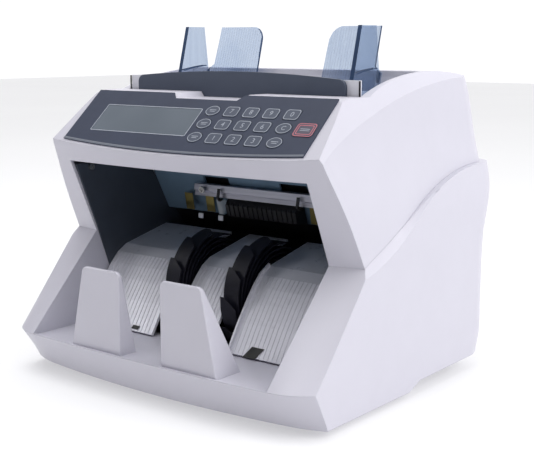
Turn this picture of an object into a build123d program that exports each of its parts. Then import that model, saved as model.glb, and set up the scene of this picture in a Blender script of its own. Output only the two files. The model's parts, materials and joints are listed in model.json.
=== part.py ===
from build123d import *

import math
import os

# Banknote counting machine, modelled as it comes apart on a bench.
#
# Millimetres, +Z up, +X to the right of someone who faces the front, -Y towards the front.
# The origin is the centre of the footprint, on the surface that the feet stand on.
# "Profile" points are (y, z) pairs; "panel" points are (x, s) pairs on the sloping control panel.

os.makedirs("parts", exist_ok=True)

# ---------------------------------------------------------------- driving dimensions
WALL = 2.6                      # moulded wall thickness
SKIRT_Z = 4.5                   # lower edge of the housing
RIDGE_Z = 34.0                  # sharp front ridge
WAIST_Z = 109.0                 # seam between the two housings at the front
BROW_Z = 170.2                  # lower edge of the brow, top of the stacker bay
RIM_Z = 226.0                   # flat rim behind the control panel
BAY_HALF = 119.3                # half width of the stacker bay's opening
REACH = 170.0                   # cutters run this far, past every outer face

# Front outlines at four heights: (height, middle y, knee x, knee y, end x, end y)
SKIRT_FRONT = (SKIRT_Z, -126.0, 121.0, -117.5, 148.5, -109.0)
RIDGE_FRONT = (RIDGE_Z, -142.8, 121.0, -139.5, 150.0, -124.5)
WAIST_FRONT = (WAIST_Z, -74.1, 100.0, -70.4, 150.0, -62.4)
FRONT_LEAN = 0.437              # forward lean of the upper front, y for each z

# Plan sections, straight sides with round rear corners: (height, half width, rear y)
CORNER_R = 27.0
LOWER_SECTIONS = [
    (0.0, 148.4, 125.0), (25.0, 149.3, 125.0), (50.0, 149.9, 125.0), (75.0, 150.0, 125.0),
    (98.0, 150.0, 125.2), (114.0, 149.9, 127.4), (130.0, 149.2, 133.6), (145.0, 147.6, 139.6),
    (158.0, 145.2, 142.2), (172.0, 142.4, 142.4)]
UPPER_SECTIONS = [
    (80.0, 148.6, 139.0), (101.0, 147.0, 139.0), (123.0, 145.3, 139.0), (145.0, 142.8, 139.0),
    (166.0, 138.7, 138.4), (187.0, 134.4, 136.8), (210.0, 131.9, 133.0), (235.0, 130.2, 125.0),
    (258.0, 128.8, 115.0)]

# Profile points of the seam that sweeps up the sides, and of the rounded ridge at the top
SWOOSH = [(-64, WAIST_Z), (-35, 121), (-6, 134), (20, 147), (56, 160), (97, 167.4), (128, 168.4),
          (REACH, 168)]
CREST = [(-28, RIM_Z), (2, 235.6), (35, 241), (60, 242.8), (98, 240.3), (114, 236), (124, 227), (131, 213)]

# Shoulder sections along the top: (y, height at the side wall, crest half width, crest height)
SHOULDERS = [
    (-125.0, 178.0, 131.0, 184.5), (-100.0, 187.0, 125.0, 208.5), (-62.0, 200.5, 123.5, 223.0),
    (-20.0, 215.0, 120.5, 234.0), (30.0, 227.0, 118.5, 243.0), (86.0, 234.0, 117.0, 246.0),
    (120.0, 234.5, 115.0, 246.0), (REACH, 234.5, 113.0, 246.0)]
SHOULDER_X = 133.6              # where the side wall heights above are given

PANEL_FOOT = (-100.2, 188.1)    # lower corner line of the control panel, profile point
PANEL_HEAD = (-58.2, 225.2)
PANEL_HALF = 120.0
PANEL_ANGLE = math.atan2(PANEL_HEAD[1] - PANEL_FOOT[1], PANEL_HEAD[0] - PANEL_FOOT[0])
PANEL_LENGTH = math.hypot(PANEL_HEAD[0] - PANEL_FOOT[0], PANEL_HEAD[1] - PANEL_FOOT[1])
PANEL_BOW = 6.2                 # the lower edge bows down the slope by this at the middle
NOTCH_HALF, NOTCH_DEPTH, NOTCH_SLANT = 31.0, 6.0, 5.0
OVERLAY_T = 1.0
DISPLAY_BOX = (-97.0, 4.0, 11.5, 39.5)      # x from, x to, s from, s to
KEY_COLUMNS = (15.0, 33.5, 52.0, 70.5, 89.4)
KEY_ROWS = (38.4, 24.8, 10.8)
KEY_SIZE = (13.4, 10.4)
START_KEY = (108.2, 24.5, 17.0, 13.0)
KEY_GAP = 0.3
KEY_LAYOUT = (("mode", "7", "8", "9", "0"), ("add", "4", "5", "6", "clear"),
              ("batch", "1", "2", "3", "speed"))
ROUND_KEYS = ("mode", "add", "batch", "clear", "speed")

WHEEL_Y, WHEEL_Z, WHEEL_R = -26.0, 63.0, 50.0
WHEEL_X = 30.5                  # middle of each stacker wheel
WHEEL_GAP_HALF = 9.8            # half of the gap between stacker plates that it turns in
HUB_R = 21.5
FINGERS, FINGER_WIDTH, FINGER_T = 13, 14.5, 1.5
FINGER_SLANT = 9.0              # the tips are cut back by this across the fingers' width
FINGER_PITCH = 8.2              # a finger comes this much closer to the hub for each radian it goes round
FINGER_SWEEP = 3.5              # radians from tip to hub
FINGER_TIP = 0.4                # thickness at the tip, as a part of the full thickness
FIRST_FINGER = 112.4            # direction of one tip, in degrees from the rear
STACKER_SHAFT_R = 4.0
PLATE_PROFILE = [(14, 105), (-36, 93.5), (-46, 88), (-54, 80), (-62, 70), (-72, 56), (-85.4, 35)]
PLATE_T = 2.4
TRAY_Z = 33.2                   # floor of the front tray

BAR_MIDDLE = (-1.5, 142.0)      # profile point in the middle of the cross bar
BAR_X = (-65.5, 117.0)
BAR_SCREWS = (-54.5, 104.0)
HOOK_SPOTS = (-36.0, 46.6)
STRIP_SPOTS = (-79.0, -55.0, 55.0)
PANEL_SLOTS = (-60.0, 21.5)     # left ends of the slots above the cross bar

LINER_PROFILE = [(-90.4, 166.8), (-67.6, 111), (-54.5, 76), (-44, 70), (43.5, 92), (43.5, 116), (34, 119.2),
                 (0.2, 150.8), (-7.6, 165.2)]
LINER_FACE = BAY_HALF - 1.7     # inner face of the side liners
LINER_SCREW = (-74.5, 163.5)    # profile point of the screw in each liner
HOPPER_HALF = 117.4
HOPPER_REAR = [(43.2, 222.5), (47, 227), (50, 232), (52.2, 238), (53.4, 244)]

FEED_AXIS = (0.0, 193.0)        # profile points of the roller shafts
FEED_R = 18.0
PICKUP_AXIS = (30.0, 213.5)
PICKUP_R = 12.0
RETARD_AXIS = (-27.8, 198.7)
RETARD_R = 10.0
SHAFT_R = 3.0
SHAFT_PLAY = 0.05
BEARING_R = 6.5
ROLLER_X, ROLLER_WIDTH = 28.0, 15.0

FRAME_X, FRAME_T = 122.4, 1.6   # inner face and thickness of the side frames
MOTOR_AXIS = (86.0, 78.0)
MOTOR_R, MOTOR_LENGTH = 22.0, 62.0
MOTOR_PULLEY_R, FEED_PULLEY_R, STACKER_PULLEY_R, PICKUP_PULLEY_R = 9.0, 12.0, 18.0, 8.0
BELT_GAP, BELT_T = 0.3, 1.2
FEED_BELT_X = (-128.0, -125.4)
STACKER_BELT_X = (-136.0, -132.0)
PICKUP_BELT_X = (125.2, 127.4)

SHAFT_SPOTS = {"feed": (FEED_AXIS, SHAFT_R), "pickup": (PICKUP_AXIS, SHAFT_R),
               "stacker": ((WHEEL_Y, WHEEL_Z), STACKER_SHAFT_R)}

GUIDE_X, GUIDE_T = 88.5, 3.6    # middle and thickness of the side plates
GUIDE_TOP = 277.8
PINION_Y, PINION_TEETH, GEAR_MODULE = 58.0, 14, 1.2
PINION_R = GEAR_MODULE * PINION_TEETH / 2
RACK_Z = (205.0, 209.0)

INLET_X, INLET_Z = 86.0, 66.0
REAR_Y = 125.0
REAR_FOOT_HEIGHT = 11.05
FOOT_SPOTS = [(-118, -88), (118, -88), (-118, 74), (118, 74)]


# ---------------------------------------------------------------- geometry helpers
def closed_wire(runs, place):
    """A closed wire from runs of ("line" | "curve", points); place turns each point into a vector."""
    edges = []
    for kind, points in runs:
        spots = [Vector(*place(*p)) for p in points]
        if kind == "curve":
            edges.append(Edge.make_spline(spots))
        else:
            edges += [Edge.make_line(a, b) for a, b in zip(spots, spots[1:])]
    return Wire(edges)


def profile_prism(runs, x0, x1):
    """A (y, z) profile, made of line and curve runs, from x0 to x1."""
    wire = closed_wire(runs, lambda y, z: (x0, y, z))
    return Solid.extrude(Face(wire), Vector(x1 - x0, 0, 0))


def profile_polygon(points, x0, x1):
    return profile_prism([("line", list(points) + [points[0]])], x0, x1)


def front_polygon(points, y0, y1):
    """An (x, z) polygon from y0 to y1."""
    wire = closed_wire([("line", list(points) + [points[0]])], lambda x, z: (x, y0, z))
    return Solid.extrude(Face(wire), Vector(0, y1 - y0, 0))


def box(x0, x1, y0, y1, z0, z1):
    return Pos((x0 + x1) / 2, (y0 + y1) / 2, (z0 + z1) / 2) * Box(x1 - x0, y1 - y0, z1 - z0)


def rod(radius, x0, x1, axis):
    """A round bar along X at a profile point."""
    return Pos((x0 + x1) / 2, axis[0], axis[1]) * (Rot(0, 90, 0) * Cylinder(radius, x1 - x0))


def tube(radius, bore, x0, x1, axis):
    return rod(radius, x0, x1, axis) - rod(bore, x0 - 1, x1 + 1, axis)


def moved_aside(points, distance):
    """A polyline moved to its left by distance, with mitred corners."""
    result = []
    for i, (a, b) in enumerate(points):
        before = points[max(i - 1, 0)]
        after = points[min(i + 1, len(points) - 1)]
        first = left_normal(before, (a, b)) if i else left_normal((a, b), after)
        second = left_normal((a, b), after) if i < len(points) - 1 else first
        scale = distance / (1 + first[0] * second[0] + first[1] * second[1])
        result.append((a + (first[0] + second[0]) * scale, b + (first[1] + second[1]) * scale))
    return result


def left_normal(p, q):
    length = math.hypot(q[0] - p[0], q[1] - p[1])
    return (-(q[1] - p[1]) / length, (q[0] - p[0]) / length)


def bent_sheet(points, thickness, x0, x1):
    """Sheet along a profile polyline, its thickness to the left of the way the points run."""
    return profile_polygon(points + moved_aside(points, thickness)[::-1], x0, x1)


def both_sides(shape):
    return [shape, mirror(shape, about=Plane.YZ)]


def save(name, *shapes):
    """Writes one node from all the solids of the given shapes."""
    solids = [solid for shape in shapes for solid in shape.solids()]
    export_step(solids[0] if len(solids) == 1 else Compound(children=solids), f"parts/{name}.step")


def joined(first, *others):
    result = first
    for other in others:
        result = result + other
    return result


# ---------------------------------------------------------------- housings
def front_wire(front, inset=0.0, back=REACH):
    """Plan outline at one height: a bowed front that turns into straight sides."""
    z, middle, knee_x, knee_y, end_x, end_y = front
    end_x, end_y = end_x - inset, end_y + inset
    middle, knee_y = middle + inset, knee_y + inset
    bow = Edge.make_three_point_arc((-knee_x, knee_y, z), (0, middle, z), (knee_x, knee_y, z))
    turn = bow.tangent_at(1)
    right = Edge.make_tangent_arc((knee_x, knee_y, z), turn, (end_x, end_y, z))
    left = Edge.make_tangent_arc((-knee_x, knee_y, z), Vector(-turn.X, turn.Y, 0), (-end_x, end_y, z))
    corners = [(end_x, end_y, z), (end_x, back, z), (-end_x, back, z), (-end_x, end_y, z)]
    straight = [Edge.make_line(a, b) for a, b in zip(corners, corners[1:])]
    return Wire([bow, right, left] + straight)


def plan_section(z, half, rear, inset):
    """Plan outline with a square front and round rear corners."""
    half, rear, radius = half - inset, rear - inset, CORNER_R - inset
    diagonal = radius * math.sqrt(0.5)
    cx, cy = half - radius, rear - radius
    edges = [
        Edge.make_line((-half, -REACH, z), (half, -REACH, z)),
        Edge.make_line((half, -REACH, z), (half, cy, z)),
        Edge.make_three_point_arc((half, cy, z), (cx + diagonal, cy + diagonal, z), (cx, rear, z)),
        Edge.make_line((cx, rear, z), (-cx, rear, z)),
        Edge.make_three_point_arc((-cx, rear, z), (-cx - diagonal, cy + diagonal, z), (-half, cy, z)),
        Edge.make_line((-half, cy, z), (-half, -REACH, z)),
    ]
    return Wire(edges)


def tapered_block(sections, inset):
    return Solid.make_loft([plan_section(*section, inset) for section in sections])


def lower_profile(inset):
    """Underside and swoosh seam of the lower housing. The inner space is left open at the top."""
    underside = [(-REACH, SKIRT_Z + inset), (-3, SKIRT_Z + inset), (12, 10.5 + inset), (92, 11.5 + inset)]
    heel = [(92, 11.5 + inset), (112, 17 + inset), (122 - inset, 27 + inset / 2), (125 - inset, 42)]
    if inset:
        rest = [heel[-1], (REACH, 42), (REACH, 200), (-REACH, 200), underside[0]]
        return [("line", underside), ("curve", heel), ("line", rest)]
    rise = [heel[-1], (REACH, 42), SWOOSH[-1]]
    front = [SWOOSH[0], (-REACH, WAIST_Z), underside[0]]
    return [("line", underside), ("curve", heel), ("line", rise), ("curve", SWOOSH[::-1]), ("line", front)]


def lower_block(inset):
    skirt, ridge, waist = (front_wire(f, inset) for f in (SKIRT_FRONT, RIDGE_FRONT, WAIST_FRONT))
    front = Solid.make_loft([skirt, ridge], ruled=True) + Solid.make_loft([ridge, waist], ruled=True)
    front += Solid.extrude(Face(waist), Vector(0, 0, 100))
    profile = profile_prism(lower_profile(inset), -REACH, REACH)
    return front & tapered_block(LOWER_SECTIONS, inset) & profile


def swoosh_height(y):
    """Height of the seam between the housings at a given y, straight between its points."""
    for (y0, z0), (y1, z1) in zip(SWOOSH, SWOOSH[1:]):
        if y0 <= y <= y1:
            return z0 + (z1 - z0) * (y - y0) / (y1 - y0)
    return SWOOSH[0][1]


def ledge_chamfer():
    """Cutter for the sloping ledge that the lower housing shows under the seam, fading to the rear."""
    wires = []
    for y, drop in ((-75, 9.0), (-40, 8.4), (-6, 6.4), (20, 3.6), (40, 1.2)):
        z = swoosh_height(y)
        corners = [(144.6, y, z + 0.4), (152, y, z + 0.4), (152, y, z - drop * 1.3)]
        wires.append(Wire.make_polygon(corners, close=True))
    return Solid.make_loft(wires)


def bay_walls():
    """The bay's own moulded sides and the tray floor, cut back to the housing's front face."""
    half, rear = BAY_HALF, 44.0
    floor = box(-half - WALL, half + WALL, -REACH, rear, TRAY_Z - WALL, TRAY_Z)
    floor -= box(-100, 100, -72, rear + 1, TRAY_Z - WALL - 1, TRAY_Z + 1)
    side = box(half, half + WALL, -REACH, rear, TRAY_Z - WALL, WAIST_Z - 0.2)
    return joined(floor, *both_sides(side))


def lower_housing():
    outer = lower_block(0)
    shell = outer - lower_block(WALL)
    rim = outer & profile_prism([("curve", SWOOSH), ("line", [SWOOSH[-1], (REACH, 163), (-64, WAIST_Z - 5),
                                                             SWOOSH[0]])], -REACH, REACH)
    rim -= tapered_block(LOWER_SECTIONS, 9.0)
    shell = shell + rim
    shell -= box(-BAY_HALF, BAY_HALF, -REACH, 0, RIDGE_Z, WAIST_Z + 1)
    shell = shell + (bay_walls() & outer)
    for side in both_sides(ledge_chamfer()):
        shell -= side
    for side in (-1, 1):
        shell -= note_stop(side)
    shell -= box(INLET_X - 26, INLET_X + 26, REAR_Y - 8, REAR_Y + 5, INLET_Z - 13.5, INLET_Z + 13.5)
    shell -= box(INLET_X - 29.3, INLET_X + 29.3, REAR_Y, REAR_Y + 5, INLET_Z - 16.3, INLET_Z + 16.3)
    shell -= rod(5.5, -BAY_HALF - 5, BAY_HALF + 5, (WHEEL_Y, WHEEL_Z))
    for x, y in FOOT_SPOTS:
        shell -= Pos(x, y, 8) * Cylinder(2.6, 14)
    return shell


def upper_profile(inset):
    drop = inset / math.cos(PANEL_ANGLE)
    slope = math.tan(PANEL_ANGLE)
    low_y = -125.0
    low = (low_y, PANEL_FOOT[1] + (low_y - PANEL_FOOT[0]) * slope - drop)
    ridge_y = PANEL_HEAD[0] + (RIM_Z - inset - PANEL_HEAD[1] + drop) / slope
    crest = [(y, z - inset) for y, z in CREST]
    top = [low, (ridge_y, RIM_Z - inset), crest[0]]
    back = [crest[-1], (REACH, 150 if inset else 200)]
    if inset:
        back = [crest[-1], (REACH, 200), (REACH, 92), (-REACH, 92), (-REACH, low[1]), low]
        return [("line", top), ("curve", crest), ("line", back)]
    back = [crest[-1], (REACH, 200), SWOOSH[-1]]
    front = [SWOOSH[0], (-REACH, WAIST_Z), (-REACH, low[1]), low]
    return [("line", top), ("curve", crest), ("line", back), ("curve", SWOOSH[::-1]), ("line", front)]


def upper_front(inset):
    """Leaning block behind the upper front face."""
    start_z, height = 92.0, 170.0
    z, middle, knee_x, knee_y, end_x, end_y = WAIST_FRONT
    back = (z - start_z) * FRONT_LEAN
    moved = (start_z, middle + back, knee_x, knee_y + back, end_x, end_y + back)
    wire = front_wire(moved, inset * 1.09, REACH * 2)
    return Solid.extrude(Face(wire), Vector(0, -FRONT_LEAN * height, height))


def shoulder_roof(inset):
    wires = []
    for y, side_z, crest_x, crest_z in SHOULDERS:
        side_z, crest_z = side_z - inset * 1.2, crest_z - inset
        fall = (crest_z - side_z) / (SHOULDER_X - crest_x)
        end_z = side_z - fall * (REACH - SHOULDER_X)
        corners = [(-REACH, -300), (REACH, -300), (REACH, end_z), (crest_x, crest_z), (-crest_x, crest_z),
                   (-REACH, end_z)]
        wires.append(Wire.make_polygon([(x, y, z) for x, z in corners], close=True))
    return Solid.make_loft(wires)


def upper_block(inset):
    profile = profile_prism(upper_profile(inset), -REACH, REACH)
    return profile & tapered_block(UPPER_SECTIONS, inset) & upper_front(inset) & shoulder_roof(inset)


def panel_plane(raise_by=0.0):
    """Plane of the control panel: local x across, local y up the slope, normal outwards."""
    normal = Vector(0, -math.sin(PANEL_ANGLE), math.cos(PANEL_ANGLE))
    origin = Vector(0, PANEL_FOOT[0], PANEL_FOOT[1]) + normal * raise_by
    return Plane(origin=origin, x_dir=(1, 0, 0), z_dir=normal)


def panel_slab(face, base, thickness):
    """A flat sketch face on the panel, from base to base + thickness above the panel's surface."""
    return extrude(panel_plane(base) * face, thickness)


def rounded(x, s, width, height, radius):
    return Pos(x, s) * RectangleRounded(width, height, radius)


def keys():
    """Name, centre, size and shape of every key."""
    result = []
    for names, s in zip(KEY_LAYOUT, KEY_ROWS):
        for name, x in zip(names, KEY_COLUMNS):
            result.append((name, x, s, KEY_SIZE[0], KEY_SIZE[1], name in ROUND_KEYS))
    return result + [("start", *START_KEY, False)]


def key_face(x, s, width, height, is_round, grow=0.0):
    if is_round:
        return Pos(x, s) * Ellipse(width / 2 + grow, height / 2 + grow)
    return rounded(x, s, width + 2 * grow, height + 2 * grow, 2.6 + grow)


def hopper_recess():
    """Space that the hopper takes out of the upper housing's top."""
    return box(-HOPPER_HALF, HOPPER_HALF, -30, 56, 150, 290)


def rim_notch():
    """Finger notch in the rim, open to the hopper."""
    half, wide = NOTCH_HALF, NOTCH_HALF + NOTCH_SLANT
    floor_z = RIM_Z - NOTCH_DEPTH * math.sin(PANEL_ANGLE)
    return front_polygon([(-half, floor_z), (half, floor_z), (wide, RIM_Z + 3), (-wide, RIM_Z + 3)], -75, -26)


def notch_floor():
    """Skin under the notch, which follows the rim and the panel."""
    half = NOTCH_HALF + NOTCH_SLANT + 2
    drop = NOTCH_DEPTH * math.sin(PANEL_ANGLE)
    front = PANEL_HEAD[0] - NOTCH_DEPTH * math.cos(PANEL_ANGLE) - 1.5
    return box(-half, half, front, -30, RIM_Z - drop - WALL, RIM_Z - 0.4)


def rim_skirt():
    """Lip that hangs from the rim's rear edge in front of the hopper wall."""
    return box(-HOPPER_HALF, HOPPER_HALF, -32.4, -30, 212, RIM_Z - 0.4)


def upper_housing():
    outer = upper_block(0)
    inner = upper_block(WALL)
    shell = outer - inner
    recess = hopper_recess()
    hopper_side = box(HOPPER_HALF, HOPPER_HALF + 2, -32, 60, 206, 260)
    rear = bent_sheet(HOPPER_REAR, -2.2, -HOPPER_HALF - 2, HOPPER_HALF + 2)
    lining = joined(rear, *both_sides(hopper_side)) & outer
    shell = (shell - recess) + lining + rim_skirt() + (notch_floor() & outer)
    shell -= rim_notch()
    shell -= box(-BAY_HALF, BAY_HALF, -REACH, 0, 90, BROW_Z)
    for side in both_sides(rod(5.0, HOPPER_HALF - 5, HOPPER_HALF + 5, PICKUP_AXIS)):
        shell -= side
    x0, x1, s0, s1 = DISPLAY_BOX
    shell -= panel_slab(rounded((x0 + x1) / 2, (s0 + s1) / 2, x1 - x0 - 3, s1 - s0 - 3, 2), -12, 16)
    keypad_x0, keypad_x1 = KEY_COLUMNS[0] - 8, START_KEY[0] + 9.5
    keypad = rounded((keypad_x0 + keypad_x1) / 2, KEY_ROWS[1], keypad_x1 - keypad_x0, 39, 3)
    shell -= panel_slab(keypad, -12, 16)
    return shell


# ---------------------------------------------------------------- control panel
def overlay_outline():
    half, top = PANEL_HALF, PANEL_LENGTH
    wide = NOTCH_HALF + NOTCH_SLANT
    corners = [(half, 0), (half, top), (wide, top), (NOTCH_HALF, top - NOTCH_DEPTH),
               (-NOTCH_HALF, top - NOTCH_DEPTH), (-wide, top), (-half, top), (-half, 0)]
    edges = [Edge.make_line((*a, 0), (*b, 0)) for a, b in zip(corners, corners[1:])]
    edges.append(Edge.make_three_point_arc((-half, 0, 0), (0, -PANEL_BOW, 0), (half, 0, 0)))
    return Face(Wire(edges))


def control_panel_overlay():
    sheet = panel_slab(overlay_outline(), 0, OVERLAY_T)
    x0, x1, s0, s1 = DISPLAY_BOX
    sheet -= panel_slab(rounded((x0 + x1) / 2, (s0 + s1) / 2, x1 - x0, s1 - s0, 1.2), -1, 4)
    for _, x, s, width, height, is_round in keys():
        sheet -= panel_slab(key_face(x, s, width, height, is_round, KEY_GAP), -1, 4)
    return sheet


def display_window():
    x0, x1, s0, s1 = DISPLAY_BOX
    return panel_slab(rounded((x0 + x1) / 2, (s0 + s1) / 2, x1 - x0 - 0.2, s1 - s0 - 0.2, 1.1), 0.02, 0.9)


def key_pad(x, s, width, height, is_round):
    return panel_slab(key_face(x, s, width, height, is_round), -0.6, OVERLAY_T + 0.9)


def panel_circuit_board():
    x0, x1, s0, s1 = DISPLAY_BOX
    board_x1 = START_KEY[0] + 8
    board = panel_slab(rounded((x0 + board_x1) / 2, KEY_ROWS[1], board_x1 - x0 - 6, 36, 2), -5.2, 1.6)
    board += panel_slab(rounded((x0 + x1) / 2, (s0 + s1) / 2, x1 - x0 - 8, s1 - s0 - 6, 1), -3.6, 3.2)
    for _, x, s, _, _, _ in keys():
        board += panel_slab(Pos(x, s) * Circle(3.2), -3.6, 2.2)
    return board


# ---------------------------------------------------------------- hopper
def hopper_front_plate():
    """Dark plate that the notes lean on, its top edge bowed with round corners."""
    half, low, high, crown, corner = 105.0, 212.0, 232.5, 242.4, 6.0
    front_y, thickness = -29.6, 2.8
    top = 238.2
    corners = [(-half, high), (-half, low), (half, low), (half, high)]
    edges = [Edge.make_line((a[0], 0, a[1]), (b[0], 0, b[1])) for a, b in zip(corners, corners[1:])]
    turn = corner * (1 - math.sqrt(0.5))
    inner = half - corner
    for side in (1, -1):
        shoulder = (side * (half - turn), 0, top - turn)
        edges.append(Edge.make_three_point_arc((side * half, 0, high), shoulder, (side * inner, 0, top)))
    edges.append(Edge.make_three_point_arc((inner, 0, top), (0, 0, crown), (-inner, 0, top)))
    return Pos(0, front_y, 0) * Solid.extrude(Face(Wire(edges)), Vector(0, thickness, 0))


def hopper_wall():
    """Light upright behind the dark plate, notched for the retard roller."""
    wall = box(-115.4, 115.4, -26.7, -23.6, 212.5, 237.6)
    slot = box(-ROLLER_X - 10, ROLLER_X + 10, -28, -22, 210, 216)
    return wall - slot


def hopper_floor():
    top = [(-19, 214.5), (4, 218.2), (37.6, 227)]
    floor = bent_sheet(top, -2.2, -116.8, 116.8)
    slots = [box(x - 9.5, x + 9.5, PICKUP_AXIS[0] - 13.5, PICKUP_AXIS[0] + 7.5, 205, 240)
             for x in (-ROLLER_X, ROLLER_X)]
    for slot in slots:
        floor -= slot
    return floor


def guide_side_plate():
    """Upright plate of the right guide, a tall trapezoid on a broad foot."""
    plate = [(3.5, 238.5), (14, GUIDE_TOP), (34, GUIDE_TOP), (38.8, 241.5), (38.8, 228.8), (5, 220),
             (2.2, 234)]
    return profile_polygon(plate, GUIDE_X - GUIDE_T / 2, GUIDE_X + GUIDE_T / 2)


def guide_rear_plate():
    """Ribbed rear plate of the right guide, leaning back, with one round top corner."""
    inner, outer_low, outer_high, low = 34.0, GUIDE_X + GUIDE_T / 2, 83.5, 228.4
    lean = 10.0 / 32.0
    pitch, thick, rib = 2.6, 2.0, 0.5
    low_y = 37.2
    points = [(inner, low_y)]
    count = int((outer_low - inner) / pitch)
    for i in range(count):
        x = inner + (i + 0.5) * pitch
        points += [(x - 0.5, low_y), (x - 0.3, low_y - rib), (x + 0.3, low_y - rib), (x + 0.5, low_y)]
    points += [(outer_low, low_y), (outer_low, low_y + thick), (inner, low_y + thick)]
    comb = closed_wire([("line", points + [points[0]])], lambda x, y: (x, y, low))
    height = GUIDE_TOP - low
    leaning = Solid.extrude(Face(comb), Vector(0, lean * height, height))
    corner = 11.0
    turn = corner * (1 - math.sqrt(0.5))
    outline = [(inner, low), (outer_low, low), (outer_low, 241), (outer_high, 246),
               (outer_high - 1, GUIDE_TOP), (inner + corner + 3, GUIDE_TOP)]
    edges = [Edge.make_line((a[0], 0, a[1]), (b[0], 0, b[1])) for a, b in zip(outline, outline[1:])]
    edges.append(Edge.make_three_point_arc((inner + corner + 3, 0, GUIDE_TOP),
                                           (inner + turn + 2, 0, GUIDE_TOP - turn),
                                           (inner + 1.4, 0, GUIDE_TOP - corner)))
    edges.append(Edge.make_line((inner + 1.4, 0, GUIDE_TOP - corner), (inner, 0, low)))
    return leaning & Solid.extrude(Face(Wire(edges)), Vector(0, 80, 0))


def guide_foot():
    """Tongue that reaches through the slot behind the hopper floor to the rack."""
    return box(70, 88, 38.9, 42.4, 209, 233)


def note_guide():
    return guide_side_plate() + guide_rear_plate() + guide_foot()


def rack_teeth(length, count):
    """Rack teeth along X with their tips at local y = +addendum, a gap in mesh at x = 0."""
    pitch = math.pi * GEAR_MODULE
    add, ded, half_tip, half_root = 0.8 * GEAR_MODULE, 1.2 * GEAR_MODULE, 0.1 * pitch, 0.25 * pitch
    first = -math.ceil(count / 2)
    points = [(-length, -ded - 3), (-length, -ded)]
    for i in range(count):
        x = (first + i + 0.5) * pitch
        points += [(x - half_root, -ded), (x - half_tip, add), (x + half_tip, add), (x + half_root, -ded)]
    end = (first + count) * pitch + 1
    points += [(end, -ded), (end, -ded - 3)]
    return points


def guide_rack(side):
    """Toothed bar of one guide, with the arm that carries the guide's foot. side is -1 left, 1 right."""
    length, count = 88.0, 24
    points = rack_teeth(length, count)
    # the left rack runs in front of the pinion, the right one behind it, turned half round
    place = (lambda x, y: (x, PINION_Y - PINION_R + y, RACK_Z[0])) if side < 0 else (
        lambda x, y: (-x, PINION_Y + PINION_R - y, RACK_Z[0]))
    wire = closed_wire([("line", points + [points[0]])], place)
    bar = Solid.extrude(Face(wire), Vector(0, 0, RACK_Z[1] - RACK_Z[0]))
    far = PINION_Y - PINION_R - 3 if side < 0 else PINION_Y + PINION_R + 4.4
    near_x, far_x = (70.0, 88.0)
    arm_z = RACK_Z[1] + 1.2
    arm = box(near_x, far_x, 43.0, far, arm_z, arm_z + 2.4)
    hook = box(near_x, far_x, 36.0, 38.5, arm_z, arm_z + 8) + box(near_x, far_x, 42.8, 45.2, arm_z, arm_z + 8)
    web = box(near_x, far_x, 36.0, 44.8, arm_z - 4, arm_z - 1.6)
    web += box(near_x, far_x, 36.0, 38.5, arm_z - 4, arm_z)
    link = box(near_x, far_x, 42.8, 44.8, arm_z - 4, arm_z)
    post = box(near_x, far_x, far - 3, far, RACK_Z[0], arm_z)
    carrier = joined(arm, hook, web, link, post)
    if side < 0:
        carrier = mirror(carrier, about=Plane.YZ)
    return bar + carrier


def guide_pinion():
    pitch_angle = 2 * math.pi / PINION_TEETH
    add, ded = 0.8 * GEAR_MODULE, 1.2 * GEAR_MODULE
    points = []
    for i in range(PINION_TEETH):
        middle = math.pi / 2 + i * pitch_angle
        for radius, share in ((PINION_R - ded, -0.2), (PINION_R + add, -0.08), (PINION_R + add, 0.08),
                              (PINION_R - ded, 0.2)):
            angle = middle + share * pitch_angle
            points.append((radius * math.cos(angle), PINION_Y + radius * math.sin(angle)))
    wire = closed_wire([("line", points + [points[0]])], lambda x, y: (x, y, RACK_Z[0]))
    gear = Solid.extrude(Face(wire), Vector(0, 0, RACK_Z[1] - RACK_Z[0]))
    return gear - Pos(0, PINION_Y, RACK_Z[0]) * Cylinder(SHAFT_R + SHAFT_PLAY, 20)


def guide_track():
    """Bridge under the hopper that the racks slide on, with the pinion's stud."""
    low = RACK_Z[0] - 0.4
    plate = box(-118.9, 118.9, 34, 76, low - 2.4, low)
    plate -= box(-ROLLER_X - 12, ROLLER_X + 12, 30, 44, low - 5, low + 5)
    stud = Pos(0, PINION_Y, low + 2.8) * Cylinder(SHAFT_R, 5.6 + 2.4)
    return plate + stud


# ---------------------------------------------------------------- feed and stacker rollers
def pulley(radius, x0, x1, axis):
    body = rod(radius, x0, x1, axis)
    return body - rod(SHAFT_R, x0 - 1, x1 + 1, axis)


def feed_shaft():
    shaft = rod(SHAFT_R, FEED_BELT_X[0], PICKUP_BELT_X[1] + 0.4, FEED_AXIS)
    left = pulley(FEED_PULLEY_R, FEED_BELT_X[0], FEED_BELT_X[1] + 0.2, FEED_AXIS)
    right = pulley(PICKUP_PULLEY_R, PICKUP_BELT_X[0] - 0.2, PICKUP_BELT_X[1], FEED_AXIS)
    return joined(shaft, left, right)


def pickup_shaft():
    shaft = rod(SHAFT_R, -125.0, PICKUP_BELT_X[1] + 0.4, PICKUP_AXIS)
    return shaft + pulley(PICKUP_PULLEY_R, PICKUP_BELT_X[0] - 0.2, PICKUP_BELT_X[1], PICKUP_AXIS)


def roller_pair(radius, axis, flat):
    """Two rubber rollers on a shaft, each with a grippy flat-topped pad when flat is given."""
    rollers = []
    for x in (-ROLLER_X, ROLLER_X):
        body = tube(radius, SHAFT_R, x - ROLLER_WIDTH / 2, x + ROLLER_WIDTH / 2, axis)
        for i in range(int(ROLLER_WIDTH / 3) - 1):
            groove_x = x - ROLLER_WIDTH / 2 + 3 * (i + 1)
            body -= tube(radius + 1, radius - flat, groove_x - 0.5, groove_x + 0.5, axis)
        rollers.append(body)
    return rollers


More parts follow.
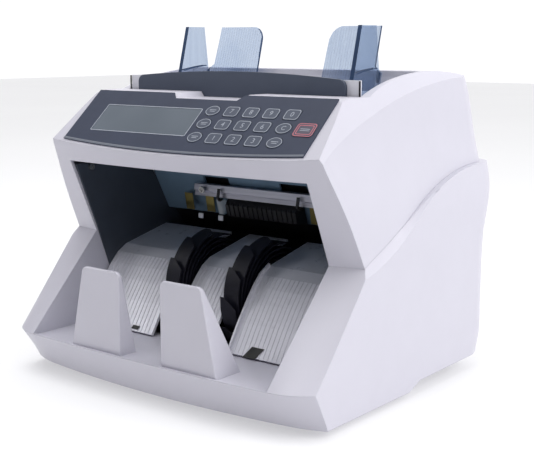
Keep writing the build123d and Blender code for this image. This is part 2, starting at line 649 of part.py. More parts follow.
def retard_roller():
    """Separator roller with its pin, on a bracket that hangs from the feed cover."""
    roller = tube(RETARD_R, SHAFT_R, -36, 36, RETARD_AXIS)
    for x in (-24, -12, 0, 12, 24):
        roller -= tube(RETARD_R + 1, RETARD_R - 0.8, x - 1.5, x + 1.5, RETARD_AXIS)
    return [roller, rod(SHAFT_R, -FRAME_X, FRAME_X, RETARD_AXIS)]


def stacker_shaft():
    axis = (WHEEL_Y, WHEEL_Z)
    shaft = rod(STACKER_SHAFT_R, STACKER_BELT_X[0], 126.5, axis)
    wheel = rod(STACKER_PULLEY_R, STACKER_BELT_X[0], STACKER_BELT_X[1], axis)
    wheel -= rod(STACKER_SHAFT_R, STACKER_BELT_X[0] - 1, STACKER_BELT_X[1] + 1, axis)
    return shaft + wheel


def finger_side(turn, inset):
    """One long side of a curved finger, from its tip inwards to the hub."""
    points = []
    for step in range(9):
        turned = FINGER_SWEEP * step / 8
        radius = WHEEL_R - FINGER_PITCH * turned - inset * min(1, 3 * step / 8 + FINGER_TIP)
        angle = turn + turned
        points.append((WHEEL_Y + radius * math.cos(angle), WHEEL_Z + radius * math.sin(angle)))
    return points


def finger_tip_cutter(turn, x0, x1):
    """Wedge that cuts a finger's tip at a slant, so that its left end stays the longest."""
    inner, outer = WHEEL_R - 8, WHEEL_R + 2
    wires = []
    for radius in (inner, outer):
        corners = []
        for x, back in ((x0 + 2, -1.5), (x1 + 1, -1.5), (x1 + 1, FINGER_SLANT)):
            y = WHEEL_Y + radius * math.cos(turn) - back * math.sin(turn)
            z = WHEEL_Z + radius * math.sin(turn) + back * math.cos(turn)
            corners.append((x, y, z))
        wires.append(Wire.make_polygon(corners, close=True))
    return Solid.make_loft(wires, ruled=True)


def stacker_wheel(side):
    """Wheel of long curved fingers that trail as it turns, each spiralling from the rim to the hub."""
    axis = (WHEEL_Y, WHEEL_Z)
    x0 = side * WHEEL_X - FINGER_WIDTH / 2
    x1 = x0 + FINGER_WIDTH
    wheel = rod(HUB_R, x0, x1, axis)
    for i in range(FINGERS):
        turn = math.radians(FIRST_FINGER) + i * 2 * math.pi / FINGERS
        outer, inner = finger_side(turn, 0.0), finger_side(turn, FINGER_T)
        runs = [("curve", outer), ("line", [outer[-1], inner[-1]]), ("curve", inner[::-1]),
                ("line", [inner[0], outer[0]])]
        wheel += profile_prism(runs, x0, x1) - finger_tip_cutter(turn, x0, x1)
    return wheel - rod(STACKER_SHAFT_R, x0 - 1, x1 + 1, axis)


# ---------------------------------------------------------------- stacker bay
def stacker_plate(x0, x1, lip):
    """Ribbed plate that the notes slide down. lip adds a raised edge on the x0 side."""
    plate = bent_sheet(PLATE_PROFILE, PLATE_T, x0, x1)
    pitch, width, height = 4.0, 0.9, 0.35
    rooted = moved_aside(PLATE_PROFILE, 0.2)
    count = int((x1 - x0 - 4) / pitch)
    start = (x0 + x1) / 2 - (count - 1) * pitch / 2
    middles = [start + i * pitch for i in range(count)]
    ribs = [bent_sheet(rooted[2:], -height - 0.2, x - width / 2, x + width / 2) for x in middles]
    plate = plate + ribs
    if lip:
        edge = bent_sheet(rooted[1:], -3.2, x0, x0 + 1.6)
        plate = plate + edge
    return plate


def note_stop(side):
    """Upright stop in front of the bay: a plate with a wedge behind it."""
    x0, x1 = 20.5, 60.0
    top, base = 97.0, TRAY_Z
    front = -138.6
    wires = []
    for z, inner, outer, inner_depth, outer_depth in ((base, x0 + 0.5, x1 + 14, 17, 27),
                                                      (top, x0 + 0.5, x1, 3.2, 3.2)):
        corners = [(inner, front, z), (outer, front, z), (outer, front + outer_depth, z),
                   (inner, front + inner_depth, z)]
        wires.append(Wire.make_polygon(corners, close=True))
    stop = Solid.make_loft(wires, ruled=True)
    edges = [e for e in stop.edges() if e.center().Z > top - 0.5 and abs((e @ 1 - e @ 0).X) < 1]
    stop = fillet(edges, 4.5)
    uprights = [e for e in stop.edges() if (e @ 1 - e @ 0).Z > 40 or (e @ 1 - e @ 0).Z < -40]
    stop = fillet(uprights, 1.0)
    return stop if side > 0 else mirror(stop, about=Plane.YZ)


def side_liner(side):
    liner = profile_polygon(LINER_PROFILE, LINER_FACE, BAY_HALF - 0.1)
    return liner if side > 0 else mirror(liner, about=Plane.YZ)


def exit_guide_panel():
    """Slanted panel over the note exit, bent forward at its top to close the bay's roof."""
    sheet = bent_sheet([(18, 119), (1, 150.6), (-7, 167), (-60, 171), (-88, 170.5)], -2.0, -117.2, 117.2)
    for x in PANEL_SLOTS:
        sheet -= box(x, x + 28, -20, 20, 146.4, 152.8)
    return sheet


def exit_chute():
    """Black rear guide that closes the bay below the note exit."""
    return bent_sheet([(3, 160), (25, 119), (40, 100), (40, 58)], 2.0, -117.2, 117.2)


def cross_bar():
    """Bent steel angle across the note exit."""
    y, z = BAR_MIDDLE
    angle = [(y + 4.4, z + 4.6), (y - 3, z + 4.6), (y - 3.8, z - 0.6), (y - 2.2, z - 1.8), (y - 2.8, z - 5.2)]
    return bent_sheet(angle, 1.2, *BAR_X)


def bar_hook(x):
    y, z = BAR_MIDDLE
    hook = [(y - 6.4, z + 2.6), (y - 7.8, z - 5.5), (y - 5.2, z - 8.2), (y - 1, z - 7.4)]
    return bent_sheet(hook, 1.4, x - 1.1, x + 1.1)


def contact_strip(x, width, low):
    return bent_sheet([(2.2, 136.5), (5.0, low)], 0.5, x - width / 2, x + width / 2)


def brush_strip():
    """Ribbed cover over the sensors, under the cross bar."""
    body = profile_polygon([(2, 138), (-4, 131), (-1, 121.5), (14, 119), (9, 132)], -32, 41)
    for i in range(14):
        x = -28 + i * 5
        body -= profile_polygon([(-2.5, 133), (-6, 131), (-4, 119), (2, 121.5)], x - 0.6, x + 0.6)
    return body


# ---------------------------------------------------------------- frames and drive
def side_frame():
    outline = [(-44, 40), (-44, 80), (-38, 120), (-38, 206), (-14, 211), (16, 224), (48, 224), (78, 208),
               (110, 120), (110, 30), (96, 16), (-20, 16)]
    plate = profile_polygon(outline, FRAME_X, FRAME_X + FRAME_T)
    for axis, _ in SHAFT_SPOTS.values():
        plate -= rod(BEARING_R, FRAME_X - 1, FRAME_X + 5, axis)
    plate -= rod(8, FRAME_X - 1, FRAME_X + 5, MOTOR_AXIS)
    return plate


def bearings():
    rings = []
    for axis, shaft in SHAFT_SPOTS.values():
        ring = tube(BEARING_R, shaft + SHAFT_PLAY, FRAME_X - 0.2, FRAME_X + 2.2, axis)
        rings += both_sides(ring)
    return rings


def main_motor():
    """Geared motor bolted to the left side frame, its shaft passing through the frame."""
    face_x = -FRAME_X
    can = rod(MOTOR_R, face_x + 12, face_x + MOTOR_LENGTH, MOTOR_AXIS)
    gearbox = rod(MOTOR_R + 4, face_x, face_x + 12, MOTOR_AXIS)
    end_cap = rod(MOTOR_R - 6, face_x + MOTOR_LENGTH, face_x + MOTOR_LENGTH + 5, MOTOR_AXIS)
    boss = rod(7.6, face_x - FRAME_T - 0.6, face_x, MOTOR_AXIS)
    boss -= rod(SHAFT_R + SHAFT_PLAY, face_x - 5, face_x + 11, MOTOR_AXIS)
    body = joined(gearbox, can, end_cap, boss)
    return body - rod(SHAFT_R + SHAFT_PLAY, face_x - 8, face_x + 8, MOTOR_AXIS)


def motor_pulley():
    """Stepped pulley on the motor's shaft."""
    shaft = rod(SHAFT_R, STACKER_BELT_X[0], -FRAME_X + 7.6, MOTOR_AXIS)
    outer = rod(MOTOR_PULLEY_R, STACKER_BELT_X[0], STACKER_BELT_X[1] + 0.3, MOTOR_AXIS)
    inner = rod(MOTOR_PULLEY_R, FEED_BELT_X[0] - 0.3, FEED_BELT_X[1], MOTOR_AXIS)
    return joined(shaft, outer, inner)


def belt_fill(first, r1, second, r2, x0, x1):
    """Solid outline of an open belt round two circles."""
    dy, dz = second[0] - first[0], second[1] - first[1]
    distance = math.hypot(dy, dz)
    along = math.atan2(dz, dy)
    lift = math.acos((r1 - r2) / distance)
    corners = []
    for centre, radius, sign in ((first, r1, 1), (second, r2, 1), (second, r2, -1), (first, r1, -1)):
        angle = along + sign * lift
        corners.append((centre[0] + radius * math.cos(angle), centre[1] + radius * math.sin(angle)))
    return joined(rod(r1, x0, x1, first), rod(r2, x0, x1, second), profile_polygon(corners, x0, x1))


def belt(first, r1, second, r2, x_range):
    x0, x1 = x_range[0] + 0.3, x_range[1] - 0.3
    gap = BELT_GAP + BELT_T
    outside = belt_fill(first, r1 + gap, second, r2 + gap, x0, x1)
    return outside - belt_fill(first, r1 + BELT_GAP, second, r2 + BELT_GAP, x0 - 1, x1 + 1)


def drive_belts():
    return [belt(MOTOR_AXIS, MOTOR_PULLEY_R, FEED_AXIS, FEED_PULLEY_R, FEED_BELT_X),
            belt(MOTOR_AXIS, MOTOR_PULLEY_R, (WHEEL_Y, WHEEL_Z), STACKER_PULLEY_R, STACKER_BELT_X),
            belt(FEED_AXIS, PICKUP_PULLEY_R, PICKUP_AXIS, PICKUP_PULLEY_R, PICKUP_BELT_X)]


def main_circuit_board():
    """Mains and control board on the floor, with its transformer, capacitors and heat sink."""
    z = 20.0
    board = box(-48, 108, 40, 104, z, z + 1.6)
    transformer = box(56, 98, 52, 94, z + 1.6, z + 36)
    board = joined(board, transformer, box(-40, -36, 46, 98, z + 1.6, z + 28))
    for x in (-18, 2, 22):
        board += Pos(x, 60, z + 1.6 + 10) * Cylinder(7, 20)
    for x in (-44, 104):
        for y in (44, 88):
            board += box(x - 3, x + 3, y - 3, y + 3, 14.4, z)
    return board


# ---------------------------------------------------------------- rear panel, feet, fasteners
def power_inlet():
    """Three-blade mains inlet with the rocker switch's frame beside it, in one moulding."""
    flange = box(INLET_X - 29, INLET_X + 29, REAR_Y, REAR_Y + 2.4, INLET_Z - 16, INLET_Z + 16)
    body = box(INLET_X - 25.6, INLET_X + 25.6, REAR_Y - 26, REAR_Y, INLET_Z - 13.2, INLET_Z + 13.2)
    socket_x, switch_x = INLET_X + 10.5, INLET_X - 16.5
    socket = box(socket_x - 12, socket_x + 12, REAR_Y - 16, REAR_Y + 5, INLET_Z - 8.2, INLET_Z + 8.2)
    window = box(switch_x - 6.4, switch_x + 6.4, REAR_Y - 14, REAR_Y + 5, INLET_Z - 10.4, INLET_Z + 10.4)
    unit = flange + body - socket - window
    for dx, dz in ((-7, -2), (7, -2), (0, 3)):
        unit += box(socket_x + dx - 1, socket_x + dx + 1, REAR_Y - 16, REAR_Y - 2, INLET_Z + dz - 2.4,
                    INLET_Z + dz + 2.4)
    pin = Pos(switch_x, REAR_Y - 4, INLET_Z) * (Rot(0, 90, 0) * Cylinder(1.4, 12.8))
    return unit + pin


def power_switch_rocker():
    """Rocker, pressed at its lower end at rest."""
    switch_x, pivot_y, tilt = INLET_X - 16.5, REAR_Y - 4, 7.0
    profile = [(-4.5, -9), (3.6, -9), (5.4, -8.2), (2.6, 0), (5.4, 8.2), (3.6, 9), (-4.5, 9)]
    rocker = profile_polygon([(y, z) for y, z in profile], -5.8, 5.8) - rod(1.45, -9, 9, (0, 0))
    return Pos(switch_x, pivot_y, INLET_Z) * (Rot(tilt, 0, 0) * rocker)


def foot(x, y):
    """Rubber foot with the stud that holds it in the housing floor."""
    height = SKIRT_Z if y < 0 else REAR_FOOT_HEIGHT
    pad = Pos(x, y, height / 2) * Cone(8.5, 10, height)
    return pad + Pos(x, y, height + 3) * Cylinder(2.5, 6)


def screw(place):
    """Pan head of a screw, standing on the local z = 0 plane, with a cross slot."""
    head = Pos(0, 0, 0.9) * Cylinder(2.8, 1.8)
    cross = Pos(0, 0, 1.5) * (Box(3.6, 0.8, 1) + Box(0.8, 3.6, 1))
    return place * (head - cross)


def screws():
    y, z = BAR_MIDDLE
    facing_front = Rot(90 + 8.7, 0, 0)
    spots = [screw(Pos(x, y - 5.35, z + 0.4) * facing_front) for x in BAR_SCREWS]
    for side in (-1, 1):
        spots.append(screw(Pos(side * (LINER_FACE - 0.1), *LINER_SCREW) * Rot(0, -90 * side, 0)))
    for dx in (-26.5, 26.5):
        spots.append(screw(Pos(INLET_X + dx, REAR_Y + 2.4, INLET_Z) * Rot(-90, 0, 0)))
    return spots


# ---------------------------------------------------------------- write the nodes
def write_housings():
    save("lower_housing", lower_housing())
    save("upper_housing", upper_housing())


def write_panel():
    save("control_panel_overlay", control_panel_overlay())
    save("display_window", display_window())
    save("panel_circuit_board", panel_circuit_board())
    for name, *shape in keys():
        save(f"key_{name}", key_pad(*shape))


def write_hopper():
    save("hopper_front_plate", hopper_front_plate())
    save("hopper_wall", hopper_wall())
    save("hopper_floor", hopper_floor())
    right = note_guide()
    save("note_guide_right", right)
    save("note_guide_left", mirror(right, about=Plane.YZ))
    save("guide_rack_left", guide_rack(-1))
    save("guide_rack_right", guide_rack(1))
    save("guide_pinion", guide_pinion())
    save("guide_track", guide_track())


def write_rollers():
    save("feed_shaft", feed_shaft())
    save("feed_rollers", *roller_pair(FEED_R, FEED_AXIS, 0.8))
    save("pickup_shaft", pickup_shaft())
    save("pickup_rollers", *roller_pair(PICKUP_R, PICKUP_AXIS, 0.6))
    save("retard_roller", *retard_roller())
    save("stacker_shaft", stacker_shaft())
    save("stacker_wheel_left", stacker_wheel(-1))
    save("stacker_wheel_right", stacker_wheel(1))


def write_bay():
    inner, outer = WHEEL_X - WHEEL_GAP_HALF, WHEEL_X + WHEEL_GAP_HALF
    side = BAY_HALF - 2.0
    save("stacker_plate_left", stacker_plate(-side, -outer, False))
    save("stacker_plate_middle", stacker_plate(-inner, inner, False))
    save("stacker_plate_right", stacker_plate(outer, side, True))
    save("note_stop_left", note_stop(-1))
    save("note_stop_right", note_stop(1))
    save("side_liners", side_liner(-1), side_liner(1))
    save("exit_guide_panel", exit_guide_panel())
    save("exit_chute", exit_chute())
    save("cross_bar", cross_bar())
    save("bar_hooks", *[bar_hook(x) for x in HOOK_SPOTS])
    save("contact_strips", *[contact_strip(x, 9, 122) for x in STRIP_SPOTS])
    save("brush_strip", brush_strip())


def write_drive():
    save("side_frames", *both_sides(side_frame()))
    save("bearings", *bearings())
    save("main_motor", main_motor())
    save("motor_pulley", motor_pulley())
    save("drive_belts", *drive_belts())
    save("main_circuit_board", main_circuit_board())
    save("power_inlet", power_inlet())
    save("power_switch_rocker", power_switch_rocker())
    save("feet", *[foot(x, y) for x, y in FOOT_SPOTS])
    save("screws", *screws())


write_housings()
write_panel()
write_hopper()
write_rollers()
write_bay()
write_drive()
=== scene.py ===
import json
import math

import bmesh
import bpy
from mathutils import Matrix, Vector


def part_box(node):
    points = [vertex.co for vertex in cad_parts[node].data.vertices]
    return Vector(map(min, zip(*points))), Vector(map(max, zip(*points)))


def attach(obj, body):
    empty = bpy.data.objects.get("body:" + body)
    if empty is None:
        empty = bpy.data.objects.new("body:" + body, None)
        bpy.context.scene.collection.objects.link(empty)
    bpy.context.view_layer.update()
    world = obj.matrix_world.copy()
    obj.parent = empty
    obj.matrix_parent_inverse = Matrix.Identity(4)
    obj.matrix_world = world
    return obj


# Banknote counting machine: materials, printed and moulded detail, floor, light and camera.
# Lengths are in metres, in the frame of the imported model: +X right, -Y front, +Z up.

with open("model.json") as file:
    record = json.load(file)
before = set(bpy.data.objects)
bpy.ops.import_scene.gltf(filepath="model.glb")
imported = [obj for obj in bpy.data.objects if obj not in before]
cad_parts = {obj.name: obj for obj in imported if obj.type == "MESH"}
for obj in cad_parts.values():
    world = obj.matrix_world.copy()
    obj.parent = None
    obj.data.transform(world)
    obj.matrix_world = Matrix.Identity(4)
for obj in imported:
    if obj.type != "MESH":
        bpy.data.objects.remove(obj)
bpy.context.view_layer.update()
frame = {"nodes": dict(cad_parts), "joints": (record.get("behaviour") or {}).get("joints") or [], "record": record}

MM = 0.001
ROOT = "machine"                # the body that stands still
HIDDEN_GAP = 0.02 * MM          # printed lines stand this far off the surface they lie on
LINE_HEIGHT = 0.12 * MM         # printed lines are this thick
SMOOTH_ANGLE = 30.0             # edges sharper than this stay sharp, in degrees

# Small parts that are added to the bay, in millimetres
PLATE_FOOT = (-85.4, 35.0)      # lower end of the stacker plates, y and z
PLATE_RUN = (-13.4, -21.0)      # the way the plates run down to it, y and z
WINDOW_STANDOFF = 0.45          # the sensor windows stand this far off the plates, clear of the ribs
LENS_X = (-57.0, -35.0)         # middles of the two sensor lenses
LENS_HALF, LENS_Y, LENS_LOW, LENS_HIGH = 2.6, -6.0, 117.6, 122.0
FILM_CORNERS = ((-40.0, -2.0, 122.0), (-33.5, -2.0, 122.0), (-30.5, -4.0, 135.0), (-42.0, -4.0, 135.0))
# The fold line of the clear side plates, y and z
GUIDE_FOLD = ((7.0, 241.0), (14.0, 242.4), (21.0, 243.5), (29.0, 244.4), (36.0, 245.0))
GUIDE_THICKNESS = 3.6 * MM
SIDE_PLATE_FROM = 86.6 * MM     # the clear side plates lie beyond this, to the left and right

# Floor, light and camera
CAMERA_SPOT = Vector((0.5507, -0.6835, 0.2646))
CAMERA_TARGET = Vector((0.0, 0.012, 0.11514))
SENSOR_WIDTH, FOCAL_LENGTH = 36.0, 73.0
LIGHTS_AIM = (0, 0, 0.12)
FLOOR_REACH = 6.0
FLOOR_GLOW = 0.37
SKY_BRIGHT_SIDE = Vector((0.42, 0.86, 0.28)).normalized()
SKY_DIM, SKY_BRIGHT = 0.04, 1.08
SKY_FADE = (-0.35, 0.05)        # cosines, from the bright side, between which dim turns into bright


# ---------------------------------------------------------------- where things are
def centre(node):
    """Middle of a node's box."""
    low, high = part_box(node)
    return (low + high) / 2


def joint_axis(name):
    """Direction of a joint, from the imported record."""
    for joint in frame["joints"]:
        if joint["name"] == name:
            return Vector(joint["axis"]).normalized()
    raise KeyError(name)


PANEL_OUT = -joint_axis("key_5_press")                  # outward normal of the control panel
PANEL_RIGHT = Vector((1, 0, 0))
PANEL_UP = PANEL_OUT.cross(PANEL_RIGHT)
KEY_THICKNESS = 1.9 * MM


def on_panel(spot):
    """Matrix whose local x runs right, y up the slope and z out of the panel."""
    axes = Matrix((PANEL_RIGHT, PANEL_UP, PANEL_OUT)).transposed().to_4x4()
    return Matrix.Translation(spot) @ axes


def tilted_size(node, thickness):
    """Width and up-slope height of a flat node that lies on the panel."""
    low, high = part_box(node)
    size = high - low
    return size.x, (size.z - thickness * PANEL_OUT.z) / PANEL_UP.z


# ---------------------------------------------------------------- node helpers
def node_of(tree, kind, place, **values):
    """A new shader node at a place in the editor, with its options set."""
    node = tree.nodes.new(kind)
    node.location = place
    for key, value in values.items():
        setattr(node, key, value)
    return node


def socket(node, name, value):
    """Sets one input of a shader node."""
    node.inputs[name].default_value = value


def empty_material(name):
    """A material with only its output node."""
    material = bpy.data.materials.new(name)
    material.use_nodes = True
    tree = material.node_tree
    tree.nodes.clear()
    return material, tree, node_of(tree, "ShaderNodeOutputMaterial", (600, 0))


def new_material(name):
    """A material with one Principled shader on its output."""
    material, tree, output = empty_material(name)
    shader = node_of(tree, "ShaderNodeBsdfPrincipled", (300, 0))
    tree.links.new(shader.outputs["BSDF"], output.inputs["Surface"])
    return material, tree, shader


def object_coordinates(tree, stretch=(1, 1, 1)):
    """Coordinates that are fixed to the piece, stretched along its axes."""
    source = node_of(tree, "ShaderNodeTexCoord", (-1100, 0))
    mapping = node_of(tree, "ShaderNodeMapping", (-900, 0))
    socket(mapping, "Scale", stretch)
    tree.links.new(source.outputs["Object"], mapping.inputs["Vector"])
    return mapping.outputs["Vector"]


def noise(tree, vector, scale, detail=3.0, roughness=0.55, place=(-700, 0)):
    """Cloudy noise over the coordinates, from 0 to 1."""
    node = node_of(tree, "ShaderNodeTexNoise", place)
    socket(node, "Scale", scale)
    socket(node, "Detail", detail)
    socket(node, "Roughness", roughness)
    tree.links.new(vector, node.inputs["Vector"])
    return node.outputs["Fac"]


def ramp(tree, factor, low, high, place=(-400, 0)):
    """Linear change from one value or colour to another as the factor goes from 0.3 to 0.7."""
    if isinstance(low, (int, float)):
        low, high = (low, low, low, 1), (high, high, high, 1)
    node = node_of(tree, "ShaderNodeValToRGB", place)
    node.color_ramp.elements[0].position = 0.3
    node.color_ramp.elements[1].position = 0.7
    node.color_ramp.elements[0].color = low
    node.color_ramp.elements[1].color = high
    tree.links.new(factor, node.inputs["Fac"])
    return node.outputs["Color"]


def shade(color, factor):
    """A colour made lighter or darker, as four numbers."""
    return tuple(min(1.0, c * factor) for c in color[:3]) + (1.0,)


def bump(tree, shader, height, strength, distance, round_edges=0.0):
    """Feeds a height into the shader's normal, on top of softly rounded edges."""
    node = node_of(tree, "ShaderNodeBump", (60, -300))
    socket(node, "Strength", strength)
    socket(node, "Distance", distance)
    tree.links.new(height, node.inputs["Height"])
    if round_edges:
        bevel = node_of(tree, "ShaderNodeBevel", (-140, -420), samples=6)
        socket(bevel, "Radius", round_edges)
        tree.links.new(bevel.outputs["Normal"], node.inputs["Normal"])
    tree.links.new(node.outputs["Normal"], shader.inputs["Normal"])


def plastic(name, color, roughness=0.42, grain=2600.0, grain_depth=0.012, mottle=0.04, round_edges=0.5 * MM,
            sheen=0.0, specular=0.5):
    """Moulded plastic: fine spark-eroded grain, faint mottling, and softly rounded edges."""
    material, tree, shader = new_material(name)
    vector = object_coordinates(tree)
    mottling = noise(tree, vector, 38.0, 4.0, 0.6, (-700, 200))
    base = ramp(tree, mottling, shade(color, 1 - mottle), shade(color, 1 + mottle), (-450, 220))
    tree.links.new(base, shader.inputs["Base Color"])
    smears = noise(tree, vector, 90.0, 5.0, 0.7, (-700, -60))
    gloss = ramp(tree, smears, roughness - 0.05, roughness + 0.06, (-450, -60))
    tree.links.new(gloss, shader.inputs["Roughness"])
    fine = noise(tree, vector, grain, 2.0, 0.5, (-700, -320))
    bump(tree, shader, fine, 0.35, grain_depth * MM * 4, round_edges)
    socket(shader, "Specular IOR Level", specular)
    if sheen:
        socket(shader, "Coat Weight", sheen)
        socket(shader, "Coat Roughness", 0.25)
    return material


def metal(name, color, roughness=0.3, stretch=(4, 900, 900), anisotropy=0.5):
    """Brushed metal: long scratches along the direction that the stretch leaves short."""
    material, tree, shader = new_material(name)
    vector = object_coordinates(tree, stretch)
    strokes = noise(tree, vector, 1.6, 6.0, 0.65, (-700, 100))
    tone = ramp(tree, strokes, shade(color, 0.86), shade(color, 1.12), (-450, 200))
    tree.links.new(tone, shader.inputs["Base Color"])
    gloss = ramp(tree, strokes, roughness - 0.08, roughness + 0.1, (-450, -60))
    tree.links.new(gloss, shader.inputs["Roughness"])
    socket(shader, "Metallic", 1.0)
    socket(shader, "Anisotropic", anisotropy)
    bump(tree, shader, strokes, 0.25, 0.01 * MM, 0.25 * MM)
    return material


def rubber(name, color, roughness=0.6, specular=0.5):
    """Moulded rubber: matt, with a faint bloom and talc in the low spots."""
    material, tree, shader = new_material(name)
    vector = object_coordinates(tree)
    bloom = noise(tree, vector, 60.0, 6.0, 0.7, (-700, 200))
    tone = ramp(tree, bloom, shade(color, 0.75), shade(color, 1.6), (-450, 200))
    tree.links.new(tone, shader.inputs["Base Color"])
    gloss = ramp(tree, bloom, roughness - 0.1, roughness + 0.1, (-450, -40))
    tree.links.new(gloss, shader.inputs["Roughness"])
    fine = noise(tree, vector, 1500.0, 3.0, 0.6, (-700, -300))
    bump(tree, shader, fine, 0.5, 0.03 * MM, 0.3 * MM)
    socket(shader, "Specular IOR Level", specular)
    return material


def clear_blue():
    """Light blue acrylic: clear through its faces, with faint drawn streaks and a thin surface gloss."""
    material, tree, output = empty_material("clear_blue_acrylic")
    clear = node_of(tree, "ShaderNodeBsdfTransparent", (0, 100))
    gloss = node_of(tree, "ShaderNodeBsdfGlossy", (0, -100))
    haze = node_of(tree, "ShaderNodeBsdfDiffuse", (0, -300))
    first = node_of(tree, "ShaderNodeMixShader", (200, 0))
    second = node_of(tree, "ShaderNodeMixShader", (400, 0))
    vector = object_coordinates(tree, (420, 420, 6))
    streaks = noise(tree, vector, 1.0, 3.0, 0.5, (-700, 100))
    tree.links.new(ramp(tree, streaks, (0.68, 0.735, 0.82, 1), (0.74, 0.79, 0.86, 1), (-450, 200)),
                   clear.inputs["Color"])
    tree.links.new(ramp(tree, streaks, 0.30, 0.42, (-450, -60)), gloss.inputs["Roughness"])
    socket(haze, "Color", (0.30, 0.42, 0.60, 1))
    gloss_share, haze_share = 0.05, 0.06
    socket(first, "Fac", gloss_share)
    socket(second, "Fac", haze_share)
    tree.links.new(clear.outputs[0], first.inputs[1])
    tree.links.new(gloss.outputs[0], first.inputs[2])
    tree.links.new(first.outputs[0], second.inputs[1])
    tree.links.new(haze.outputs[0], second.inputs[2])
    tree.links.new(second.outputs[0], output.inputs["Surface"])
    return material


def acrylic_edge():
    """Sawn edge of the blue acrylic, where the colour gathers; also used as painted shade along the folds of the
    side plates.
    """
    return plastic("acrylic_edge", (0.030, 0.058, 0.125), 0.5, 900.0, 0.01, 0.15, round_edges=0.0,
                   specular=0.15)


def display_glass():
    """Unlit display behind a smoked window: green-grey with a faint cell pattern."""
    material, tree, shader = new_material("display_glass")
    vector = object_coordinates(tree)
    cloud = noise(tree, vector, 14.0, 2.0, 0.5, (-700, 200))
    tree.links.new(ramp(tree, cloud, (0.078, 0.100, 0.128, 1), (0.108, 0.132, 0.165, 1), (-450, 200)),
                   shader.inputs["Base Color"])
    tree.links.new(ramp(tree, cloud, 0.14, 0.2, (-450, -60)), shader.inputs["Roughness"])
    fine = noise(tree, vector, 1200.0, 1.0, 0.4, (-700, -300))
    bump(tree, shader, fine, 0.15, 0.01 * MM)
    return material


def circuit_green():
    """Green board with a fine net of lighter copper traces under the lacquer."""
    material, tree, shader = new_material("circuit_board_green")
    vector = object_coordinates(tree)
    traces = node_of(tree, "ShaderNodeTexBrick", (-700, 200))
    tree.links.new(vector, traces.inputs["Vector"])
    socket(traces, "Scale", 240.0)
    traces.inputs["Color1"].default_value = (0.010, 0.100, 0.040, 1)
    traces.inputs["Color2"].default_value = (0.014, 0.140, 0.055, 1)
    traces.inputs["Mortar"].default_value = (0.060, 0.260, 0.110, 1)
    tree.links.new(traces.outputs["Color"], shader.inputs["Base Color"])
    patch = noise(tree, vector, 120.0, 2.0, 0.5, (-700, -200))
    tree.links.new(ramp(tree, patch, 0.25, 0.45, (-450, -200)), shader.inputs["Roughness"])
    bump(tree, shader, traces.outputs["Fac"], 0.3, 0.03 * MM)
    return material


# What each material slot of the record looks like
WHITE = (0.570, 0.560, 0.632)
SLATE = (0.037, 0.046, 0.078)
LOOKS = {
    "white_housing": lambda: plastic("white_housing", WHITE, 0.40, 1100.0, 0.004, 0.010, 0.8 * MM,
                                     sheen=0.10),
    "panel_slate": lambda: plastic("panel_slate", SLATE, 0.42, 1800.0, 0.008, 0.07, 0.2 * MM,
                                   specular=0.25),
    "panel_key": lambda: plastic("panel_key", (0.055, 0.068, 0.104), 0.34, 1800.0, 0.008, 0.07, 0.3 * MM),
    "start_key": lambda: plastic("start_key", (0.075, 0.064, 0.098), 0.34, 1800.0, 0.008, 0.07, 0.3 * MM),
    "display_window": display_glass,
    "circuit_board": circuit_green,
    "hopper_slate": lambda: plastic("hopper_slate", (0.060, 0.075, 0.112), 0.42, 1400.0, 0.01, 0.06,
                                    0.6 * MM),
    "light_grey_plastic": lambda: plastic("light_grey_plastic", (0.56, 0.57, 0.63), 0.4),
    "clear_blue": clear_blue,
    "black_plastic": lambda: plastic("black_plastic", (0.010, 0.010, 0.012), 0.45, 1600.0, 0.02, 0.2),
    "natural_nylon": lambda: plastic("natural_nylon", (0.68, 0.65, 0.56), 0.5),
    "bright_steel": lambda: metal("bright_steel", (0.62, 0.63, 0.65), 0.22, (900, 8, 8)),
    "black_rubber": lambda: rubber("black_rubber", (0.006, 0.006, 0.012), 0.5, 0.28),
    "white_plate": lambda: plastic("white_plate", (0.74, 0.74, 0.80), 0.3, 2000.0, 0.008, 0.04, 0.25 * MM),
    "navy_liner": lambda: plastic("navy_liner", (0.044, 0.053, 0.072), 0.38, 1800.0, 0.02, 0.12),
    "blue_grey_panel": lambda: plastic("blue_grey_panel", (0.130, 0.200, 0.280), 0.36, 1800.0, 0.02, 0.1),
    "brushed_steel": lambda: metal("brushed_steel", (0.62, 0.62, 0.70), 0.42, anisotropy=0.0),
    "brass_strip": lambda: metal("brass_strip", (0.20, 0.165, 0.06), 0.42, (900, 20, 20)),
    "plated_steel": lambda: metal("plated_steel", (0.46, 0.47, 0.48), 0.42, (300, 6, 6)),
    "motor_steel": lambda: metal("motor_steel", (0.08, 0.08, 0.09), 0.4),
    "pulley_aluminium": lambda: metal("pulley_aluminium", (0.66, 0.66, 0.68), 0.26, (1200, 8, 8)),
    "switch_plastic": lambda: plastic("switch_plastic", (0.015, 0.015, 0.016), 0.22, 1200.0, 0.004, 0.1),
    "foot_rubber": lambda: rubber("foot_rubber", (0.016, 0.016, 0.017), 0.75),
    "screw_steel": lambda: metal("screw_steel", (0.30, 0.30, 0.30), 0.3, (60, 60, 900)),
}


# Nodes that look different from the slot they are filed under
NODE_LOOKS = {"hopper_wall": "white_plate", "hopper_floor": "light_grey_plastic"}


def dress_cad():
    """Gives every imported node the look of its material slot."""
    made = {slot: build() for slot, build in LOOKS.items()}
    for entry in frame["record"]["subparts"]:
        piece = frame["nodes"][entry["node"]]
        piece.data.materials.clear()
        look = NODE_LOOKS.get(entry["node"], entry["material_slot"])
        piece.data.materials.append(made[look])
    return made


materials = dress_cad()


